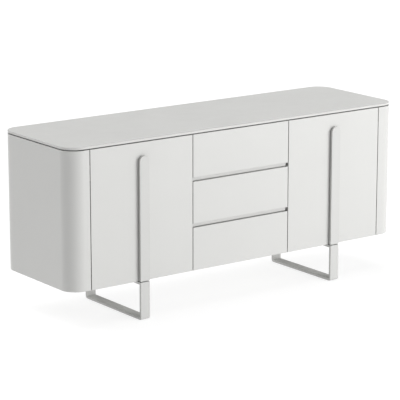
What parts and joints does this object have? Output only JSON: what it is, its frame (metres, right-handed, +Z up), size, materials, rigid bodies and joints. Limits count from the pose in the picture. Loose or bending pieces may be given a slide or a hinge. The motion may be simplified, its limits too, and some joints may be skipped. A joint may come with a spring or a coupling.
{
  "type": "sideboard buffet",
  "caption": "Long low sideboard with rounded ends: a door on each side of a stack of drawers, a thin top over a shadow gap, and flat-bar loop legs that line up with strips on the doors.",
  "frame": {"origin": "on the floor, at the centre of the overall footprint", "axes": "+X along the length towards the right-hand door, -Y towards the front, +Z up"},
  "size_m": [1.7, 0.527, 0.752],
  "materials": {
    "lacquer": "satin pale grey lacquer on board",
    "inner_board": "matt pale grey faced board",
    "drawer_box": "matt pale faced board",
    "painted_bar": "satin pale grey paint on steel flat bar",
    "fittings": "zinc-plated steel",
    "shadow_board": "matt dark board",
    "soft_pad": "matt grey rubber"
  },
  "bodies": {
    "cabinet": {"top_slab": "lacquer", "top_spacer": "shadow_board", "top_board": "inner_board", "bottom_board": "inner_board", "left_end_shell": "lacquer", "right_end_shell": "lacquer", "left_inner_side": "inner_board", "right_inner_side": "inner_board", "left_partition": "inner_board", "right_partition": "inner_board", "back_panel": "inner_board", "upper_drawer_rail": "lacquer", "lower_drawer_rail": "lacquer", "left_shelf": "inner_board", "right_shelf": "inner_board", "shelf_pins": "fittings", "left_leg_frame": "painted_bar", "right_leg_frame": "painted_bar", "leg_plates": "painted_bar", "leg_screws": "fittings", "foot_pads": "soft_pad", "top_screws": "fittings", "back_screws": "fittings", "door_bumpers": "soft_pad", "left_hinge_arms": "fittings", "right_hinge_arms": "fittings", "hinge_arm_screws": "fittings", "runner_cabinet_members": "fittings"},
    "left_door": {"left_door": "lacquer", "left_strip_batten": "painted_bar", "left_door_strip": "painted_bar", "left_strip_screws": "fittings", "left_hinge_leaves": "fittings", "left_hinge_pins": "fittings", "left_leaf_screws": "fittings"},
    "right_door": {"right_door": "lacquer", "right_strip_batten": "painted_bar", "right_door_strip": "painted_bar", "right_strip_screws": "fittings", "right_hinge_leaves": "fittings", "right_hinge_pins": "fittings", "right_leaf_screws": "fittings"},
    "lower_drawer": {"lower_drawer_front": "lacquer", "lower_drawer_sides": "drawer_box", "lower_drawer_back": "drawer_box", "lower_drawer_bottom": "drawer_box", "lower_runner_drawer_members": "fittings"},
    "lower_runner": {"lower_runner_mid_members": "fittings"},
    "middle_drawer": {"middle_drawer_front": "lacquer", "middle_drawer_sides": "drawer_box", "middle_drawer_back": "drawer_box", "middle_drawer_bottom": "drawer_box", "middle_runner_drawer_members": "fittings"},
    "middle_runner": {"middle_runner_mid_members": "fittings"},
    "upper_drawer": {"upper_drawer_front": "lacquer", "upper_drawer_sides": "drawer_box", "upper_drawer_back": "drawer_box", "upper_drawer_bottom": "drawer_box", "upper_runner_drawer_members": "fittings"},
    "upper_runner": {"upper_runner_mid_members": "fittings"}
  },
  "joints": [
    {"name": "left_door_hinge", "type": "hinge", "parent": "cabinet", "child": "left_door", "pos_m": [-0.74, -0.2415, 0.45125], "axis": [0, 0, -1], "range_deg": [0, 100]},
    {"name": "right_door_hinge", "type": "hinge", "parent": "cabinet", "child": "right_door", "pos_m": [0.74, -0.2415, 0.45125], "axis": [0, 0, 1], "range_deg": [0, 100]},
    {"name": "lower_drawer_slide", "type": "slide", "parent": "cabinet", "child": "lower_drawer", "axis": [0, -1, 0], "range_m": [0, 0.4]},
    {"name": "lower_runner_slide", "type": "slide", "parent": "cabinet", "child": "lower_runner", "axis": [0, -1, 0], "range_m": [0, 0.2]},
    {"name": "middle_drawer_slide", "type": "slide", "parent": "cabinet", "child": "middle_drawer", "axis": [0, -1, 0], "range_m": [0, 0.4]},
    {"name": "middle_runner_slide", "type": "slide", "parent": "cabinet", "child": "middle_runner", "axis": [0, -1, 0], "range_m": [0, 0.2]},
    {"name": "upper_drawer_slide", "type": "slide", "parent": "cabinet", "child": "upper_drawer", "axis": [0, -1, 0], "range_m": [0, 0.4]},
    {"name": "upper_runner_slide", "type": "slide", "parent": "cabinet", "child": "upper_runner", "axis": [0, -1, 0], "range_m": [0, 0.2]}
  ],
  "couplings": [
    {"joint": "lower_runner_slide", "follows": "lower_drawer_slide", "ratio": 0.5},
    {"joint": "middle_runner_slide", "follows": "middle_drawer_slide", "ratio": 0.5},
    {"joint": "upper_runner_slide", "follows": "upper_drawer_slide", "ratio": 0.5}
  ]
}
